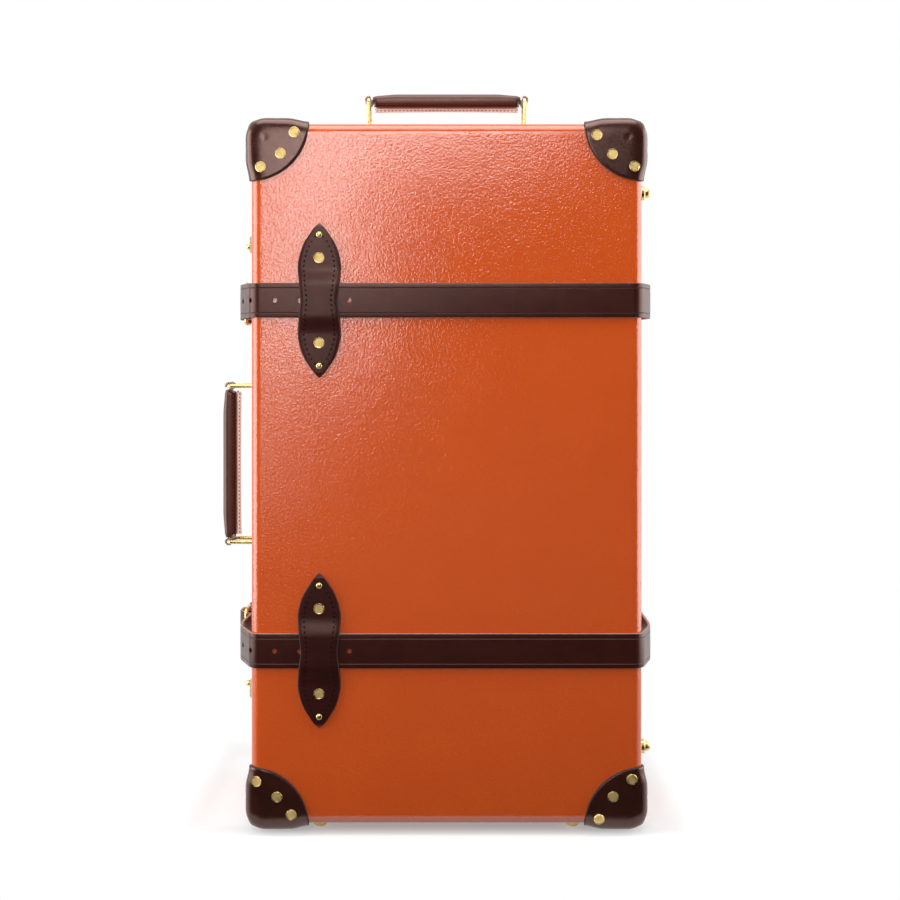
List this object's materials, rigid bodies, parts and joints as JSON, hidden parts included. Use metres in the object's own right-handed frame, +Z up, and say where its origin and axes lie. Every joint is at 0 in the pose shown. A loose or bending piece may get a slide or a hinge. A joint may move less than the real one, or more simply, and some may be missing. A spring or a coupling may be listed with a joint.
{
  "type": "wheeled suitcase",
  "caption": "Upright fibreboard suitcase with a hinged lid, leather corners, buckled straps, carrying handles, wheels and a pull handle.",
  "frame": {"origin": "bottom centre of the box round the whole case, on the floor it stands on", "axes": "+Z up along the case's height, -Y the front of the lid, +X the side with the hinges"},
  "size_m": [0.4914, 0.2424, 0.828],
  "materials": {
    "fibreboard": "lacquered, finely pebbled",
    "leather": "smooth bridle leather, satin",
    "brass": "polished",
    "plastic": "satin",
    "rubber": "matt",
    "aluminium": "satin"
  },
  "bodies": {
    "base": {"base_shell": "fibreboard", "valance": "fibreboard", "rear_corner_top_left": "leather", "rear_corner_bottom_left": "leather", "rear_corner_top_right": "leather", "rear_corner_bottom_right": "leather", "rear_keeper_upper": "leather", "rear_keeper_lower": "leather", "strap_back_upper": "leather", "strap_back_lower": "leather", "buckle_frame_upper": "brass", "buckle_frame_lower": "brass", "top_handle_mount_left": "brass", "top_handle_mount_right": "brass", "side_handle_mount_lower": "brass", "side_handle_mount_upper": "brass", "side_foot_rear_lower": "brass", "side_foot_rear_upper": "brass", "wheel_well_left": "plastic", "wheel_well_right": "plastic", "trolley_housing": "aluminium", "hinge_leaf_base_lower": "brass", "hinge_leaf_base_upper": "brass", "lock_body_lower": "brass", "lock_body_upper": "brass"},
    "lid": {"lid_shell": "fibreboard", "front_corner_top_left": "leather", "front_corner_bottom_left": "leather", "front_corner_top_right": "leather", "front_corner_bottom_right": "leather", "front_keeper_upper": "leather", "front_keeper_lower": "leather", "strap_front_upper": "leather", "strap_front_lower": "leather", "bottom_foot_left": "brass", "bottom_foot_right": "brass", "side_foot_front_lower": "brass", "side_foot_front_upper": "brass", "hinge_leaf_lid_lower": "brass", "hinge_leaf_lid_upper": "brass", "hasp_plate_lower": "brass", "hasp_plate_upper": "brass"},
    "hasp_upper": {"hasp_upper": "brass"},
    "hasp_lower": {"hasp_lower": "brass"},
    "lock_slide_upper": {"lock_slide_upper": "brass"},
    "lock_slide_lower": {"lock_slide_lower": "brass"},
    "prong_upper": {"buckle_prong_upper": "brass"},
    "prong_lower": {"buckle_prong_lower": "brass"},
    "top_loop_left": {"top_handle_loop_left": "brass"},
    "top_loop_right": {"top_handle_loop_right": "brass"},
    "top_grip": {"top_handle_grip": "leather"},
    "side_loop_lower": {"side_handle_loop_lower": "brass"},
    "side_loop_upper": {"side_handle_loop_upper": "brass"},
    "side_grip": {"side_handle_grip": "leather"},
    "wheel_left": {"wheel_left": "rubber"},
    "wheel_right": {"wheel_right": "rubber"},
    "trolley_bow": {"trolley_bow": "plastic"},
    "trolley_button": {"trolley_button": "brass"}
  },
  "joints": [
    {"name": "lid_hinge", "type": "hinge", "parent": "base", "child": "lid", "pos_m": [0.233, -0.016, 0.395], "axis": [0, 0, 1], "range_deg": [0, 100], "deforming": ["strap_front_upper", "strap_front_lower", "strap_back_upper", "strap_back_lower"]},
    {"name": "hasp_upper_hinge", "type": "hinge", "parent": "lid", "child": "hasp_upper", "pos_m": [-0.2017, -0.05, 0.648], "axis": [0, 0, 1], "range_deg": [0, 110]},
    {"name": "hasp_lower_hinge", "type": "hinge", "parent": "lid", "child": "hasp_lower", "pos_m": [-0.2017, -0.05, 0.142], "axis": [0, 0, 1], "range_deg": [0, 110]},
    {"name": "lock_upper_slide", "type": "slide", "parent": "base", "child": "lock_slide_upper", "axis": [0, 0, 1], "range_m": [0, 0.006], "stiffness_N_per_m": 150, "springref_m": -0.003},
    {"name": "lock_lower_slide", "type": "slide", "parent": "base", "child": "lock_slide_lower", "axis": [0, 0, 1], "range_m": [0, 0.006], "stiffness_N_per_m": 150, "springref_m": -0.003},
    {"name": "prong_upper_hinge", "type": "hinge", "parent": "base", "child": "prong_upper", "pos_m": [-0.2172, 0.018, 0.582], "axis": [0, 0, -1], "range_deg": [0, 95]},
    {"name": "prong_lower_hinge", "type": "hinge", "parent": "base", "child": "prong_lower", "pos_m": [-0.2172, 0.018, 0.202], "axis": [0, 0, -1], "range_deg": [0, 95]},
    {"name": "top_handle_swing", "type": "hinge", "parent": "base", "child": "top_loop_left", "pos_m": [-0.0747, 0.008, 0.7814], "axis": [0, 1, 0], "range_deg": [-50, 50]},
    {"name": "top_handle_swing_right", "type": "hinge", "parent": "base", "child": "top_loop_right", "pos_m": [0.1073, 0.008, 0.7814], "axis": [0, 1, 0], "range_deg": [-50, 50]},
    {"name": "top_grip_pivot", "type": "hinge", "parent": "top_loop_left", "child": "top_grip", "pos_m": [-0.0747, 0.008, 0.821], "axis": [0, 1, 0], "range_deg": [-50, 50]},
    {"name": "side_handle_swing", "type": "hinge", "parent": "base", "child": "side_loop_lower", "pos_m": [-0.2031, 0.008, 0.304], "axis": [0, 1, 0], "range_deg": [-50, 50]},
    {"name": "side_handle_swing_upper", "type": "hinge", "parent": "base", "child": "side_loop_upper", "pos_m": [-0.2031, 0.008, 0.486], "axis": [0, 1, 0], "range_deg": [-50, 50]},
    {"name": "side_grip_pivot", "type": "hinge", "parent": "side_loop_lower", "child": "side_grip", "pos_m": [-0.2387, 0.008, 0.304], "axis": [0, 1, 0], "range_deg": [-50, 50]},
    {"name": "wheel_left_spin", "type": "hinge", "parent": "base", "child": "wheel_left", "pos_m": [-0.1087, 0.096, 0.024], "axis": [1, 0, 0], "continuous": true},
    {"name": "wheel_right_spin", "type": "hinge", "parent": "base", "child": "wheel_right", "pos_m": [0.1413, 0.096, 0.024], "axis": [1, 0, 0], "continuous": true},
    {"name": "trolley_slide", "type": "slide", "parent": "base", "child": "trolley_bow", "axis": [0, 0, 1], "range_m": [0, 0.42]},
    {"name": "trolley_button_press", "type": "slide", "parent": "trolley_bow", "child": "trolley_button", "axis": [0, 0, -1], "range_m": [0, 0.0024], "stiffness_N_per_m": 400, "springref_m": -0.002}
  ],
  "couplings": [
    {"joint": "top_handle_swing_right", "follows": "top_handle_swing", "ratio": 1},
    {"joint": "top_grip_pivot", "follows": "top_handle_swing", "ratio": -1},
    {"joint": "side_handle_swing_upper", "follows": "side_handle_swing", "ratio": 1},
    {"joint": "side_grip_pivot", "follows": "side_handle_swing", "ratio": -1}
  ]
}
